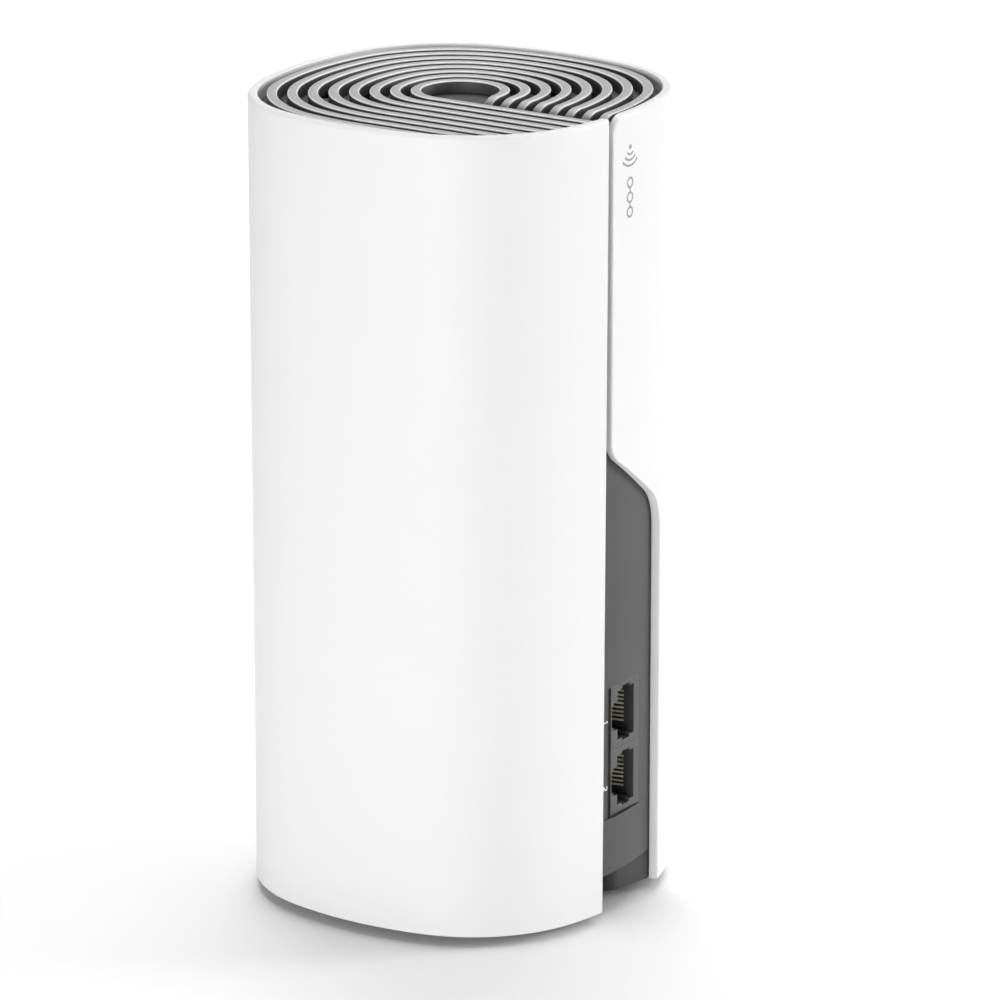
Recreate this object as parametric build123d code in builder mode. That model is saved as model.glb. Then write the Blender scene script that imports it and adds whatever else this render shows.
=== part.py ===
"""Mesh wifi node: a tall rounded-square unit in one white wrap-round sheet.

Frame: millimetres, +Z up, the origin on the floor under the middle of the unit.
+Y is the rear, where the sheet's slot and the two Ethernet ports are.
The circuit board stands upright in the Y-Z plane, a little to the +X side of the middle.
"""
import math
import os

from build123d import *

# Whole unit
overall_height = 190.0
half_width = 45.35
corner_reach = 48.45
side_radius = 79.0
foot_height = 2.5
wall = 2.2
shell_bottom = foot_height
shell_top = overall_height
fit_gap = 0.1

# Slot and port cut-out of the outer sheet, seen from the rear
near_sheet_end_top = 7.5
near_sheet_end_bottom = 8.5
slot_edge = 5.5
port_edge = -17.45
slope_top = 111.4
slope_bottom = 95.1
sheet_corner_radius = 4.5
slope_top_radius = 6.0
slope_bottom_radius = 12.0
rim_outer_radius = 0.9

# Grille: edges of the ribs are evenly spaced from the open centre to the last rib
rib_count = 8
centre_radius = 8.95
last_slot_half_width = 39.36
last_slot_reach = 41.74
side_ratio = 1.742
rib_top = shell_top - 0.4
rib_height = 2.9
rib_floor = rib_top - rib_height
tail_roll = 6.0
web_angles = (35, 108.5, 180, 250, 321.5)
web_width = 1.6
web_height = 0.8
grille_pin_radius = 1.2
grille_pin_reach = 26.0

# Top cap under the grille, and the rear panel behind the slot
cap_thickness = 2.2
cap_top = rib_floor - fit_gap
cap_bottom = cap_top - cap_thickness
panel_inset = wall + 0.05
panel_thickness = 2.0
panel_left = -23.5
panel_right = 14.0
panel_bottom = 9.9
strip_depth = 0.45
strip_right = 6.6

# Ethernet ports, stacked, with their contact rows upright
port_face = 42.3
port_left = -10.9
port_right = 2.3
port_height = 15.9
port_middle_z = 39.3
port_depth = 15.5
port_gap = 0.06
port_back_wall = 2.0
plug_x = -4.95
plug_width = 6.9
plug_height = 11.9
side_notch_x = -5.05
side_notch_width = 3.0
side_notch_height = 13.2
latch_x = -0.7
latch_width = 1.7
latch_height = 6.8
latch_tip_x = 0.5
latch_tip_width = 0.9
latch_tip_height = 5.2
contact_pitch = 1.02
contact_count = 8
contact_width = 0.46
contact_thickness = 0.4
contact_wall_x = -8.35
contact_tip_x = -6.3
contact_tip_y = 30.0
contact_bend_y = 38.9
contact_end_y = 39.6

# Circuit board
board_left = 2.5
board_thickness = 1.6
board_right = board_left + board_thickness
board_half_length = 37.9
board_bottom = 18.0
board_top = 176.0

# Power socket, plug well and cable channel in the base
well_x = -3.6
well_y = 9.0
well_size = 13.0
well_wall = 1.4
well_top = 31.0
channel_left = -3.4
channel_right = 3.4
channel_start = well_y + well_size / 2 - 1.5
channel_ceiling = panel_bottom
channel_wall = 1.5
flare_left = -17.3
flare_right = 8.0
flare_corner_y = 38.5
flare_end_y = 41.4
flare_radius = 4.0
base_inset = wall + 0.2
base_floor = 2.0
base_rim = 1.8

# Base fittings
screw_circle = 40.0
foot_radius = 5.0
foot_sink = 0.8
foot_x = 27.0
foot_y = 17.0
reset_x = -0.9
reset_y = -20.0
light_x = 1.2
light_y = -33.0

# Chassis inside the sheet
chassis_inset = 4.6
chassis_wall = 1.8
ring_low_bottom = 12.6
ring_low_top = 16.6
ring_high_bottom = 172.0
ring_high_top = cap_bottom - fit_gap

# Board fittings
board_screw_y = -32.0
board_screw_heights = (30.0, 58.0)
spreader_bottom = 66.0
spreader_top = 170.0
spreader_half_length = 31.0
spreader_thickness = 1.8
spreader_screw_y = 27.0
spreader_screw_heights = (71.0, 165.0)
shield_height = 2.6
pad_thickness = 0.5
antenna_x = 36.0
antenna_thickness = 0.8
antenna_bottom = 112.0
antenna_top = 174.0
lead_radius = 0.57
lead_y = -22.0
lead_z = 46.0
spreader_gap = shield_height + pad_thickness


def corner_values(half, reach, radius):
    """Centre offset, radius and start angle of the corner arcs, tangent to the side arcs."""
    offset_side = radius - half
    rest = radius - reach
    along = (rest**2 - offset_side**2) / (math.sqrt(2) * offset_side - 2 * rest)
    centre = along / math.sqrt(2)
    return centre, reach - along, math.degrees(math.atan2(centre, centre + offset_side))


def rounded_square(half, reach, radius, inset=0.0):
    """Edges of a square with bowed sides and round corners, drawn inset from its outline."""
    centre, corner_radius, start = corner_values(half, reach, radius)
    with BuildLine() as loop:
        for turn in (0, 90, 180, 270):
            side_centre = Vector(half - radius, 0).rotate(Axis.Z, turn)
            corner_centre = Vector(centre, centre).rotate(Axis.Z, turn)
            CenterArc(side_centre, radius - inset, turn - start, 2 * start)
            CenterArc(corner_centre, corner_radius - inset, turn + start, 90 - 2 * start)
    return loop.edges()


def body_outline(inset=0.0):
    """The unit's outline in plan, inset by a distance."""
    return rounded_square(half_width, corner_reach, side_radius, inset)


def rib_half_width(index):
    """Half width of rib edge number index, counted outwards from the open centre."""
    return centre_radius + (last_slot_half_width - centre_radius) * index / (2 * rib_count - 2)


def rib_outline(index):
    """Rib edge number index: a circle at the centre that squares up outwards."""
    half = rib_half_width(index)
    if index == 0:
        with BuildLine() as circle:
            CenterArc((0, 0), half, 0, 360)
        return circle.edges()
    reach = centre_radius + (last_slot_reach - centre_radius) * index / (2 * rib_count - 2)
    squareness = (reach / half - 1) / (last_slot_reach / last_slot_half_width - 1)
    radius = half * (1 + (side_ratio - 1) * min(1.0, squareness))
    return rounded_square(half, reach, radius)


def board_points(holes_y, heights):
    """Hole places on the board, in its own plane."""
    return [(y, z) for y in holes_y for z in heights]


def save(part, name):
    """Label a finished piece and write its file."""
    part.label = name
    export_step(part, "parts/" + name + ".step")
    print(name, round(part.volume, 1), len(part.solids()))


spreader_points = board_points((-spreader_screw_y, spreader_screw_y), spreader_screw_heights)
board_screw_points = board_points((board_screw_y,), board_screw_heights)


def make_outer_shell():
    """White sheet, open at the slot and the ports, with four screw lugs inside."""
    with BuildPart() as outer_shell:
        with BuildSketch(Plane.XY.offset(shell_bottom)):
            make_face(body_outline())
        extrude(amount=shell_top - shell_bottom)
        fillet(outer_shell.edges().group_by(Axis.Z)[-1], rim_outer_radius)
        fillet(outer_shell.edges().group_by(Axis.Z)[0], 0.4)
        with BuildSketch(Plane.XY.offset(shell_bottom)):
            make_face(body_outline(wall))
        extrude(amount=shell_top - shell_bottom, mode=Mode.SUBTRACT)
        with BuildSketch(Plane.XY.offset(panel_bottom)):
            with PolarLocations(screw_circle + 2, 4, start_angle=45):
                Rectangle(14, 9)
            make_face(body_outline(wall / 2), mode=Mode.INTERSECT)
        extrude(amount=ring_low_bottom - fit_gap - panel_bottom)
        with BuildSketch(Plane.XZ.offset(-half_width - 10)):
            with BuildLine():
                FilletPolyline(
                    (-14, shell_top),
                    (slot_edge, shell_top),
                    (slot_edge, slope_top),
                    (port_edge, slope_bottom),
                    (port_edge, 0),
                    radius=(sheet_corner_radius, slope_top_radius, slope_bottom_radius),
                )
                Polyline(
                    (port_edge, 0),
                    (near_sheet_end_bottom, 0),
                    (near_sheet_end_top, shell_top),
                    (near_sheet_end_top, shell_top + 10),
                    (-14, shell_top + 10),
                    (-14, shell_top),
                )
            make_face()
        extrude(amount=30, mode=Mode.SUBTRACT)
        with BuildSketch(Plane.XY.offset(panel_bottom)):
            with PolarLocations(screw_circle, 4, start_angle=45):
                Circle(1.45)
        extrude(amount=ring_low_bottom - panel_bottom, mode=Mode.SUBTRACT)
    return outer_shell.part


def hook_profile(rib):
    """Plan of one rib: a straight run, three quarters of a ring, and a short tail."""
    inner = rib_half_width(2 * rib)
    outer = rib_half_width(2 * rib + 1)
    middle = (inner + outer) / 2
    with BuildSketch() as hook:
        make_face(rib_outline(2 * rib + 1))
        make_face(rib_outline(2 * rib), mode=Mode.SUBTRACT)
        with Locations((half_width, half_width)):
            Rectangle(2 * half_width, 2 * half_width, mode=Mode.SUBTRACT)
        with Locations((middle, half_width / 2)):
            Rectangle(outer - inner, half_width)
        with Locations((tail_roll / 2, middle)):
            Rectangle(tail_roll, outer - inner)
        make_face(body_outline(wall + fit_gap), mode=Mode.INTERSECT)
    return hook.sketch


def make_grille():
    """Eight hook-shaped ribs on webs, with the ends of the tails rolled down."""
    with BuildPart() as grille:
        for rib in range(rib_count):
            with BuildSketch(Plane.XY.offset(rib_floor)):
                add(hook_profile(rib))
            extrude(amount=rib_top - rib_floor)
        with BuildSketch(Plane.XZ.offset(-half_width)):
            with Locations((tail_roll / 2, rib_top - tail_roll / 2)):
                Rectangle(tail_roll + 0.2, tail_roll)
            with Locations((0, rib_top - tail_roll)):
                Circle(tail_roll, mode=Mode.SUBTRACT)
        extrude(amount=half_width - centre_radius + 0.3, mode=Mode.SUBTRACT)
        for angle in web_angles:
            with BuildSketch(Plane.XY.offset(rib_floor)):
                with PolarLocations(centre_radius + 1, 1, start_angle=angle):
                    Rectangle(34, web_width, align=(Align.MIN, Align.CENTER))
                make_face(body_outline(wall + fit_gap), mode=Mode.INTERSECT)
            extrude(amount=web_height)
            with BuildSketch(Plane.XY.offset(rib_floor)):
                with PolarLocations(grille_pin_reach, 1, start_angle=angle):
                    Circle(grille_pin_radius)
            extrude(amount=-cap_thickness)
    return grille.part


def make_top_cap():
    """Vented floor under the grille, with a skirt that drops inside the sheet."""
    with BuildPart() as top_cap:
        with BuildSketch(Plane.XY.offset(cap_bottom)):
            make_face(body_outline(wall + 0.15))
        extrude(amount=cap_thickness)
        with BuildSketch(Plane.XY.offset(cap_bottom - 5)):
            make_face(body_outline(wall + 0.15))
            make_face(body_outline(wall + 2.0), mode=Mode.SUBTRACT)
            with Locations(((panel_left + panel_right) / 2, half_width)):
                Rectangle(panel_right - panel_left + 1, 40, mode=Mode.SUBTRACT)
        extrude(amount=5)
        with BuildSketch(Plane.XY.offset(cap_bottom)):
            for reach, count in ((14, 6), (22, 10), (31, 14)):
                with PolarLocations(reach, count, start_angle=5):
                    SlotOverall(9, 2.2, rotation=90)
        extrude(amount=cap_thickness, mode=Mode.SUBTRACT)
        for angle in web_angles:
            with BuildSketch(Plane.XY.offset(cap_bottom)):
                with PolarLocations(grille_pin_reach, 1, start_angle=angle):
                    Circle(grille_pin_radius + 0.9)
            extrude(amount=cap_thickness)
            with BuildSketch(Plane.XY.offset(cap_bottom)):
                with PolarLocations(grille_pin_reach, 1, start_angle=angle):
                    Circle(grille_pin_radius + 0.05)
            extrude(amount=cap_thickness, mode=Mode.SUBTRACT)
    return top_cap.part


def panel_sector(outer_inset, inner_inset, left, right):
    """Plan of a curved band that follows the outline across the rear, from left to right."""
    with BuildSketch() as band:
        make_face(body_outline(outer_inset))
        make_face(body_outline(inner_inset), mode=Mode.SUBTRACT)
        with Locations(((left + right) / 2, half_width - 6)):
            Rectangle(right - left, 20, mode=Mode.INTERSECT)
    return band.sketch


def make_rear_panel():
    """Dark curved panel behind the slot, with the port window and a label strip."""
    with BuildPart() as rear_panel:
        with BuildSketch(Plane.XY.offset(panel_bottom)):
            add(panel_sector(panel_inset, panel_inset + panel_thickness, panel_left, panel_right))
        extrude(amount=cap_bottom - fit_gap - panel_bottom)
        with BuildSketch(Plane.XZ.offset(-half_width)):
            with Locations(((port_left + port_right) / 2, port_middle_z)):
                Rectangle(port_right - port_left + 0.4, 2 * port_height + 0.4)
        extrude(amount=12, mode=Mode.SUBTRACT)
        with BuildSketch(Plane.XY.offset(port_middle_z - port_height)):
            add(panel_sector(panel_inset - 1, panel_inset + strip_depth, port_right, strip_right))
        extrude(amount=2 * port_height, mode=Mode.SUBTRACT)
    return rear_panel.part


def make_ethernet_jack(middle_z):
    """Port housing with a stepped opening: the plug's body and, beside the board, its latch."""
    with BuildPart() as jack:
        with BuildSketch(Plane.XZ.offset(-port_face)):
            with Locations(((port_left + port_right) / 2, middle_z)):
                Rectangle(port_right - port_left, port_height - port_gap)
        extrude(amount=port_depth)
        with BuildSketch(Plane.XZ.offset(-port_face)):
            with Locations((plug_x, middle_z)):
                Rectangle(plug_width, plug_height)
            with Locations((side_notch_x, middle_z)):
                Rectangle(side_notch_width, side_notch_height)
            with Locations((latch_x, middle_z)):
                Rectangle(latch_width, latch_height)
            with Locations((latch_tip_x, middle_z)):
                Rectangle(latch_tip_width, latch_tip_height)
        extrude(amount=port_depth - port_back_wall, mode=Mode.SUBTRACT)
    return jack.part


def make_contacts(middle_z):
    """Eight spring wires that slope away from the wall opposite the latch."""
    with BuildPart() as contacts:
        for number in range(contact_count):
            z = middle_z + (number - (contact_count - 1) / 2) * contact_pitch
            with BuildSketch(Plane.XY.offset(z - contact_width / 2)):
                with BuildLine():
                    Polyline(
                        (contact_wall_x, contact_end_y),
                        (contact_wall_x, contact_bend_y),
                        (contact_tip_x, contact_tip_y),
                        (contact_tip_x + contact_thickness, contact_tip_y),
                        (contact_wall_x + contact_thickness, contact_bend_y + 0.1),
                        (contact_wall_x + contact_thickness, contact_end_y),
                        close=True,
                    )
                make_face()
            extrude(amount=contact_width)
    return contacts.part


def channel_plan(grow=0.0):
    """Plan of the cable channel: straight from the well, then flared at the rear."""
    left = channel_left - grow
    right = channel_right + grow
    corner_y = flare_corner_y - grow
    with BuildSketch() as plan:
        with BuildLine():
            Polyline(
                (left, channel_start),
                (left, corner_y),
                (flare_left - grow, flare_end_y - grow),
                (flare_left - grow, half_width + 2),
                (flare_right + grow, half_width + 2),
                (flare_right + grow, flare_end_y - grow),
                (right, corner_y),
                (right, channel_start),
                close=True,
            )
        make_face()
        fillet(plan.vertices().filter_by(lambda corner: abs(corner.Y - corner_y) < 0.01), flare_radius)
    return plan.sketch


def make_base_cover():
    """Bottom tray with the plug well, the cable channel, screw posts and small openings."""
    rim_top = panel_bottom - fit_gap
    with BuildPart() as base_cover:
        with BuildSketch(Plane.XY.offset(shell_bottom)):
            make_face(body_outline(base_inset))
        extrude(amount=rim_top - shell_bottom)
        with BuildSketch(Plane.XY.offset(shell_bottom + base_floor)):
            make_face(body_outline(base_inset + base_rim))
        extrude(amount=rim_top - shell_bottom, mode=Mode.SUBTRACT)
        with BuildSketch(Plane.XY.offset(shell_bottom)):
            add(channel_plan(channel_wall))
            make_face(body_outline(base_inset + base_rim / 2), mode=Mode.INTERSECT)
        extrude(amount=rim_top - shell_bottom)
        with BuildSketch(Plane.XY.offset(shell_bottom)):
            add(channel_plan(channel_wall))
            make_face(body_outline(chassis_inset), mode=Mode.INTERSECT)
        extrude(amount=channel_ceiling + channel_wall - shell_bottom)
        with BuildSketch(Plane.XY.offset(shell_bottom)):
            with Locations((well_x, well_y)):
                RectangleRounded(well_size + 2 * well_wall, well_size + 2 * well_wall, 2.5)
        extrude(amount=well_top - shell_bottom)
        with BuildSketch(Plane.XY.offset(shell_bottom)):
            add(channel_plan())
        extrude(amount=channel_ceiling - shell_bottom, mode=Mode.SUBTRACT)
        with BuildSketch(Plane.XY.offset(shell_bottom)):
            with Locations((well_x, well_y)):
                RectangleRounded(well_size, well_size, 1.2)
        extrude(amount=well_top - shell_bottom, mode=Mode.SUBTRACT)
        with BuildSketch(Plane.XY.offset(shell_bottom)):
            with PolarLocations(screw_circle, 4, start_angle=45):
                Circle(3.9)
            make_face(body_outline(base_inset), mode=Mode.INTERSECT)
        extrude(amount=rim_top - shell_bottom)
        with BuildSketch(Plane.XY.offset(shell_bottom)):
            with PolarLocations(screw_circle, 4, start_angle=45):
                Circle(1.45)
            with Locations((reset_x, reset_y)):
                Circle(1.65)
            with Locations((light_x, light_y)):
                Circle(2.1)
        extrude(amount=rim_top - shell_bottom, mode=Mode.SUBTRACT)
        with BuildSketch(Plane.XY.offset(shell_bottom)):
            with PolarLocations(screw_circle, 4, start_angle=45):
                Circle(2.7)
        extrude(amount=3.0, mode=Mode.SUBTRACT)
        with BuildSketch(Plane.XY.offset(shell_bottom)):
            with GridLocations(2 * foot_x, 2 * foot_y, 2, 2):
                Circle(foot_radius)
        extrude(amount=foot_sink, mode=Mode.SUBTRACT)
    return base_cover.part


def make_feet():
    """Four rubber pads set into the base."""
    with BuildPart() as feet:
        with BuildSketch():
            with GridLocations(2 * foot_x, 2 * foot_y, 2, 2):
                Circle(foot_radius - 0.05)
        extrude(amount=foot_height + foot_sink - 0.02)
        fillet(feet.edges().group_by(Axis.Z)[0], 0.5)
    return feet.part


def make_base_label():
    """Blank label stuck under the base, between the feet."""
    with BuildPart() as label:
        with BuildSketch(Plane.XY.offset(shell_bottom - 0.12)):
            with Locations((0, -8.0)):
                RectangleRounded(36, 11, 1.5)
        extrude(amount=0.1)
    return label.part


def make_base_screws():
    """Self-tapping screws that clamp the base and the sheet's lugs to the chassis."""
    head_bottom = shell_bottom + 1.0
    with BuildPart() as screws:
        with BuildSketch(Plane.XY.offset(head_bottom)):
            with PolarLocations(screw_circle, 4, start_angle=45):
                Circle(2.4)
        extrude(amount=2.0)
        with BuildSketch(Plane.XY.offset(head_bottom)):
            with PolarLocations(screw_circle, 4, start_angle=45):
                Circle(1.2)
        extrude(amount=18)
        with BuildSketch(Plane.XY.offset(head_bottom)):
            with PolarLocations(screw_circle, 4, start_angle=45):
                Rectangle(2.8, 0.6)
                Rectangle(0.6, 2.8)
        extrude(amount=1.0, mode=Mode.SUBTRACT)
    return screws.part


def make_chassis():
    """Two rings, two board rails and four screw posts, moulded as one frame."""
    rail_end = half_width - chassis_inset - 0.6
    rail_start = board_half_length - 2.0
    with BuildPart() as chassis:
        for bottom, top in ((ring_low_bottom, ring_low_top), (ring_high_bottom, ring_high_top)):
            with BuildSketch(Plane.XY.offset(bottom)):
                make_face(body_outline(chassis_inset))
                make_face(body_outline(chassis_inset + chassis_wall), mode=Mode.SUBTRACT)
            extrude(amount=top - bottom)
        with BuildSketch(Plane.XY.offset(ring_low_bottom)):
            for direction in (-1, 1):
                with Locations(((board_left + board_right) / 2, direction * (rail_start + rail_end) / 2)):
                    Rectangle(6.4, rail_end - rail_start)
            with PolarLocations(screw_circle, 4, start_angle=45):
                Circle(3.2)
            make_face(body_outline(chassis_inset - 0.3), mode=Mode.INTERSECT)
        extrude(amount=12)
        with BuildSketch(Plane.XY.offset(ring_low_bottom)):
            for direction in (-1, 1):
                with Locations(((board_left + board_right) / 2, direction * (rail_start + rail_end) / 2)):
                    Rectangle(6.4, rail_end - rail_start)
        extrude(amount=ring_high_top - ring_low_bottom)
        with BuildSketch(Plane.XY.offset(board_bottom - 0.2)):
            with Locations(((board_left + board_right) / 2, 0)):
                Rectangle(board_thickness + 2 * fit_gap, 2 * board_half_length + 2 * fit_gap)
        extrude(amount=board_top - board_bottom + 0.4, mode=Mode.SUBTRACT)
        with BuildSketch(Plane.XY.offset(ring_high_bottom)):
            with Locations((-antenna_x - 1, 0), (antenna_x + 1, 0)):
                Rectangle(5, 10)
        extrude(amount=ring_high_top - ring_high_bottom)
        with BuildSketch(Plane.XY.offset(ring_high_bottom)):
            with GridLocations(2 * antenna_x + antenna_thickness, 0, 2, 1):
                Rectangle(antenna_thickness + 2 * fit_gap, 18)
        extrude(amount=antenna_top + fit_gap - ring_high_bottom, mode=Mode.SUBTRACT)
        with BuildSketch(Plane.XY.offset(port_middle_z - port_height - 1)):
            with Locations((board_left - 6, half_width - 10)):
                Rectangle(12, 20)
        extrude(amount=2 * port_height + 4, mode=Mode.SUBTRACT)
        for z in board_screw_heights:
            with BuildSketch(Plane.YZ.offset(board_right + fit_gap)):
                with Locations((board_screw_y, z)):
                    Rectangle(10, 8)
            extrude(amount=4)
        with BuildSketch(Plane.XY.offset(ring_low_bottom)):
            with PolarLocations(screw_circle, 4, start_angle=45):
                Circle(1.25)
        extrude(amount=11, mode=Mode.SUBTRACT)
        for z in board_screw_heights:
            with BuildSketch(Plane.YZ.offset(board_right)):
                with Locations((board_screw_y, z)):
                    Circle(1.0)
            extrude(amount=8, mode=Mode.SUBTRACT)
    return chassis.part


def make_main_board():
    """Circuit board, notched over the plug well."""
    with BuildPart() as board:
        with BuildSketch(Plane.YZ.offset(board_left)):
            with Locations((0, (board_bottom + board_top) / 2)):
                Rectangle(2 * board_half_length, board_top - board_bottom)
            with Locations((well_y, board_bottom)):
                Rectangle(well_size + 4, 2 * (well_top + 1 - board_bottom), mode=Mode.SUBTRACT)
            with Locations(*spreader_points):
                Circle(1.3, mode=Mode.SUBTRACT)
            with Locations(*board_screw_points):
                Circle(1.3, mode=Mode.SUBTRACT)
        extrude(amount=board_thickness)
    return board.part


def board_block(side, y, z, length, height, thickness, lift=0.0, corner=0.0):
    """A block that stands on one face of the board: side -1 is the port side, +1 the other."""
    face = board_left - lift if side < 0 else board_right + lift
    with BuildPart() as block:
        with BuildSketch(Plane.YZ.offset(face)):
            with Locations((y, z)):
                if corner > 0:
                    RectangleRounded(length, height, corner)
                else:
                    Rectangle(length, height)
        extrude(amount=side * thickness)
    return block.part


def make_shield(side, y, z, length, height):
    """Pressed metal can, open towards the board."""
    sheet = 0.3
    face = board_left if side < 0 else board_right
    with BuildPart() as shield:
        with BuildSketch(Plane.YZ.offset(face + side * 0.02)):
            with Locations((y, z)):
                RectangleRounded(length, height, 1.0)
        extrude(amount=side * (shield_height - 0.02))
        with BuildSketch(Plane.YZ.offset(face)):
            with Locations((y, z)):
                RectangleRounded(length - 2 * sheet, height - 2 * sheet, 0.7)
        extrude(amount=side * (shield_height - sheet), mode=Mode.SUBTRACT)
    return shield.part


def make_heat_spreader(side):
    """Aluminium plate with four standoffs towards the board and a row of low fins."""
    inner = board_left - spreader_gap if side < 0 else board_right + spreader_gap
    bore = 1.2 if side < 0 else 1.05
    with BuildPart() as spreader:
        with BuildSketch(Plane.YZ.offset(inner)):
            with Locations((0, (spreader_bottom + spreader_top) / 2)):
                RectangleRounded(2 * spreader_half_length, spreader_top - spreader_bottom, 3)
        extrude(amount=side * spreader_thickness)
        with BuildSketch(Plane.YZ.offset(inner + side * spreader_thickness)):
            with Locations((0, (spreader_bottom + spreader_top) / 2)):
                with GridLocations(6.0, 0, 8, 1):
                    Rectangle(1.2, spreader_top - spreader_bottom - 14)
        extrude(amount=side * 5.0)
        with BuildSketch(Plane.YZ.offset(inner)):
            with Locations(*spreader_points):
                Circle(2.6)
        extrude(amount=-side * (spreader_gap - 0.02))
        with BuildSketch(Plane.YZ.offset(inner - side * spreader_gap)):
            with Locations(*spreader_points):
                Circle(bore)
        extrude(amount=side * (spreader_gap + spreader_thickness), mode=Mode.SUBTRACT)
    return spreader.part


def make_screws_along_x(points, head_face, length, shank_radius):
    """Pan-head screws that point towards +X, their heads on the port side."""
    with BuildPart() as screws:
        with BuildSketch(Plane.YZ.offset(head_face)):
            with Locations(*points):
                Circle(2.1)
        extrude(amount=-1.4)
        with BuildSketch(Plane.YZ.offset(head_face)):
            with Locations(*points):
                Circle(shank_radius)
        extrude(amount=length)
        with BuildSketch(Plane.YZ.offset(head_face - 1.4)):
            with Locations(*points):
                Rectangle(2.4, 0.5)
                Rectangle(0.5, 2.4)
        extrude(amount=0.8, mode=Mode.SUBTRACT)
    return screws.part


def make_power_socket():
    """Barrel socket on the board, open downwards into the plug well."""
    bottom = well_top + 0.2
    with BuildPart() as socket:
        with BuildSketch(Plane.XY.offset(bottom)):
            with Locations((well_x - 1.5, well_y)):
                Rectangle(2 * (board_left - well_x) - 3.02, 9.0)
        extrude(amount=14.5)
        with BuildSketch(Plane.XY.offset(bottom)):
            with Locations((well_x, well_y)):
                Circle(3.15)
        extrude(amount=10.5, mode=Mode.SUBTRACT)
        with BuildSketch(Plane.XY.offset(bottom)):
            with Locations((well_x, well_y)):
                Circle(0.77)
        extrude(amount=14.5, mode=Mode.SUBTRACT)
    return socket.part


def make_power_pin():
    """Centre pin of the barrel socket, with a thinner root through the socket's floor."""
    with BuildPart() as pin:
        with BuildSketch(Plane.XY.offset(well_top + 1.3)):
            with Locations((well_x, well_y)):
                Circle(1.05)
        extrude(amount=9.2)
        fillet(pin.edges().group_by(Axis.Z)[0], 0.4)
        with BuildSketch(Plane.XY.offset(well_top + 10.5)):
            with Locations((well_x, well_y)):
                Circle(0.75)
        extrude(amount=4.1)
    return pin.part


def make_power_spring():
    """Side contact of the barrel socket: a bowed leaf in the bore."""
    with BuildPart() as leaf:
        with BuildSketch(Plane.XZ.offset(-well_y - 1.0)):
            with BuildLine():
                Polyline(
                    (well_x - 3.0, well_top + 2.2),
                    (well_x - 2.75, well_top + 6.0),
                    (well_x - 3.0, well_top + 10.2),
                    (well_x - 2.75, well_top + 10.2),
                    (well_x - 2.5, well_top + 6.0),
                    (well_x - 2.75, well_top + 2.2),
                    close=True,
                )
            make_face()
        extrude(amount=0.8)
    return leaf.part


def make_reset_button():
    """Button in the base: a recessed head, a stop collar and a stem up to the switch."""
    with BuildPart() as button:
        with BuildSketch(Plane.XY.offset(shell_bottom + 0.4)):
            with Locations((reset_x, reset_y)):
                Circle(1.5)
        extrude(amount=base_floor + 0.7)
        with BuildSketch(Plane.XY.offset(shell_bottom + base_floor + 0.1)):
            with Locations((reset_x, reset_y)):
                Circle(2.6)
        extrude(amount=1.0)
        with BuildSketch(Plane.XY.offset(shell_bottom + base_floor + 1.1)):
            with Locations((reset_x, reset_y)):
                Circle(1.1)
        extrude(amount=9.9)
    return button.part


def make_reset_plunger():
    """Plunger of the reset switch."""
    with BuildPart() as plunger:
        with BuildSketch(Plane.XY.offset(shell_bottom + base_floor + 11.05)):
            with Locations((reset_x, reset_y)):
                Circle(0.8)
        extrude(amount=4.2)
    return plunger.part


def make_reset_switch():
    """Side-pressed tactile switch on the board's lower edge."""
    switch_bottom = board_bottom - 0.5
    with BuildPart() as switch:
        with BuildSketch(Plane.XY.offset(switch_bottom)):
            with Locations((board_left - 2.95, reset_y)):
                Rectangle(5.8, 6.0)
        extrude(amount=4.0)
        with BuildSketch(Plane.XY.offset(switch_bottom)):
            with Locations((reset_x, reset_y)):
                Circle(0.95)
        extrude(amount=3.0, mode=Mode.SUBTRACT)
    return switch.part


def make_light_guide():
    """Clear rod that carries the status light down through the base."""
    with BuildPart() as guide:
        with BuildSketch(Plane.XY.offset(shell_bottom)):
            with Locations((light_x, light_y)):
                Circle(2.0)
        extrude(amount=base_floor)
        with BuildSketch(Plane.XY.offset(shell_bottom + base_floor)):
            with Locations((light_x, light_y)):
                Circle(2.8)
        extrude(amount=1.0)
        with BuildSketch(Plane.XY.offset(shell_bottom + base_floor + 1.0)):
            with Locations((light_x, light_y)):
                Circle(1.0)
        extrude(amount=11.6)
    return guide.part


def make_cylinders(side, points, radius, height):
    """Round components that stand on the board."""
    face = board_left if side < 0 else board_right
    with BuildPart() as cans:
        with BuildSketch(Plane.YZ.offset(face)):
            with Locations(*points):
                Circle(radius)
        extrude(amount=side * height)
        fillet(cans.edges().group_by(Axis.X)[-1 if side > 0 else 0], 0.5)
    return cans.part


def make_antenna(side):
    """Printed antenna board that hangs from the upper ring, with its slot pattern."""
    with BuildPart() as antenna:
        with BuildSketch(Plane.YZ.offset(side * antenna_x)):
            with Locations((0, (antenna_bottom + antenna_top) / 2)):
                Rectangle(17, antenna_top - antenna_bottom)
            with Locations((-4, antenna_bottom + 42), (4, antenna_bottom + 20)):
                Rectangle(2, 28, mode=Mode.SUBTRACT)
        extrude(amount=side * antenna_thickness)
    return antenna.part


def make_antenna_lead(side):
    """Thin coaxial lead from an antenna to the board, as straight runs joined by arcs."""
    start_x = side * (antenna_x - lead_radius - 0.03)
    socket_x = board_right + 1.35 if side > 0 else board_left - 1.35
    with BuildPart() as lead:
        with BuildLine() as route:
            FilletPolyline(
                (start_x, -2, antenna_bottom + 6),
                (start_x, -2, 62),
                (socket_x + side * 6, lead_y, lead_z),
                (socket_x, lead_y, lead_z),
                radius=(8, 4),
            )
        with BuildSketch(Plane(origin=route.line @ 0, z_dir=route.line % 0)):
            Circle(lead_radius)
        sweep()
    route_length = sum(edge.length for edge in route.edges())
    print("antenna lead, volume share:", round(lead.part.volume / (math.pi * lead_radius**2 * route_length), 3))
    return lead.part


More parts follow.
